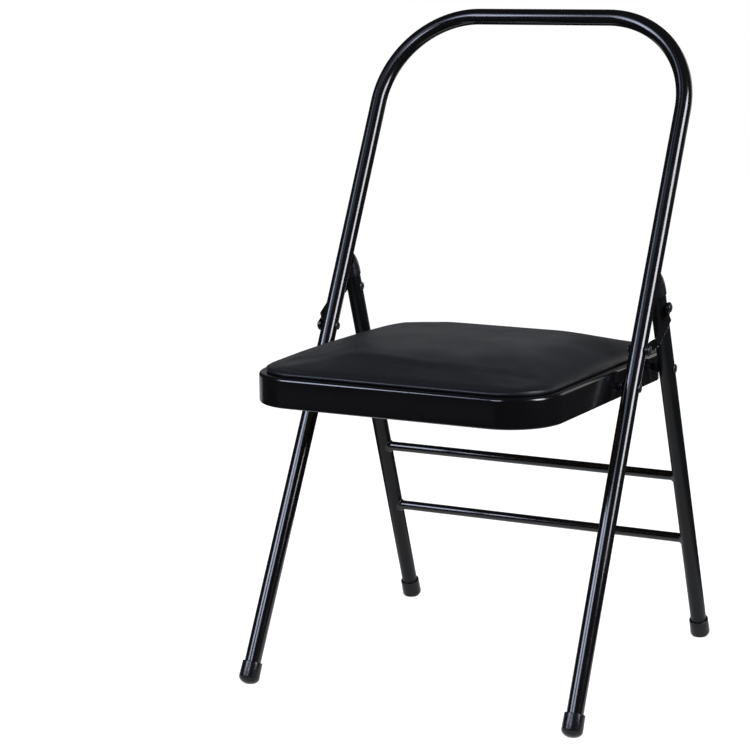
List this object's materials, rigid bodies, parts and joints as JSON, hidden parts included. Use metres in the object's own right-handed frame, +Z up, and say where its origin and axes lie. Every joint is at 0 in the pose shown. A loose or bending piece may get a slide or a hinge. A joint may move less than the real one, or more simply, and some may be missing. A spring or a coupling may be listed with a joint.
{
  "type": "folding yoga chair",
  "caption": "Backless folding chair with a bent-tube front frame, braced rear legs and a padded seat that swings up between the legs to fold flat.",
  "frame": {"origin": "on the floor, at the centre of the open chair's footprint", "axes": "+Z up, the seat's front edge faces -Y, +X across the chair; left is -X, as seen from the front"},
  "size_m": [0.456, 0.4707, 0.7974],
  "materials": {
    "gloss_black_enamel": "gloss",
    "satin_black_enamel": "satin",
    "black_vinyl": "satin",
    "black_rubber": "matte",
    "black_plastic": "satin",
    "blackened_steel": "satin",
    "plywood": "matte"
  },
  "bodies": {
    "front_frame": {"front_frame_tube": "gloss_black_enamel", "front_foot_left": "black_rubber", "front_foot_right": "black_rubber", "seat_rivet_front_left": "blackened_steel", "seat_rivet_front_right": "blackened_steel", "seat_bush_front_left": "blackened_steel", "seat_bush_front_right": "blackened_steel", "link_rivet_left": "blackened_steel", "link_rivet_right": "blackened_steel", "link_washer_front_left": "blackened_steel", "link_washer_front_right": "blackened_steel"},
    "seat": {"seat_pan": "gloss_black_enamel", "seat_board": "plywood", "seat_cushion": "black_vinyl", "pivot_plate_left": "blackened_steel", "pivot_plate_right": "blackened_steel", "board_screw_1": "blackened_steel", "board_screw_2": "blackened_steel", "board_screw_3": "blackened_steel", "board_screw_4": "blackened_steel", "board_screw_5": "blackened_steel", "board_screw_6": "blackened_steel"},
    "rear_frame": {"rear_leg_left": "satin_black_enamel", "rear_leg_right": "satin_black_enamel", "rung_lower": "gloss_black_enamel", "rung_upper": "gloss_black_enamel", "leg_cap_left": "black_plastic", "leg_cap_right": "black_plastic", "rear_foot_left": "black_rubber", "rear_foot_right": "black_rubber", "seat_rivet_rear_left": "blackened_steel", "seat_rivet_rear_right": "blackened_steel", "seat_bush_rear_left": "blackened_steel", "seat_bush_rear_right": "blackened_steel", "leg_rivet_left": "blackened_steel", "leg_rivet_right": "blackened_steel", "link_washer_rear_left": "blackened_steel", "link_washer_rear_right": "blackened_steel"},
    "link_left": {"link_left": "gloss_black_enamel", "link_stud_left": "blackened_steel"},
    "link_right": {"link_right": "gloss_black_enamel", "link_stud_right": "blackened_steel"}
  },
  "joints": [
    {"name": "seat_fold", "type": "hinge", "parent": "front_frame", "child": "seat", "pos_m": [0, -0.01436, 0.3674], "axis": [-1, 0, 0], "range_deg": [0, 106.6]},
    {"name": "rear_fold", "type": "hinge", "parent": "seat", "child": "rear_frame", "pos_m": [0, 0.09724, 0.3722], "axis": [1, 0, 0], "range_deg": [0, 61.4]},
    {"name": "link_fold_left", "type": "hinge", "parent": "front_frame", "child": "link_left", "pos_m": [-0.2209, 0.00604, 0.40885], "axis": [-1, 0, 0], "range_deg": [0, 131.3]},
    {"name": "link_fold_right", "type": "hinge", "parent": "front_frame", "child": "link_right", "pos_m": [0.2209, 0.00604, 0.40885], "axis": [-1, 0, 0], "range_deg": [0, 131.3]}
  ],
  "couplings": [
    {"joint": "rear_fold", "follows": "seat_fold", "ratio": 0.57522},
    {"joint": "link_fold_left", "follows": "seat_fold", "ratio": 1.2303},
    {"joint": "link_fold_right", "follows": "seat_fold", "ratio": 1.2303}
  ]
}
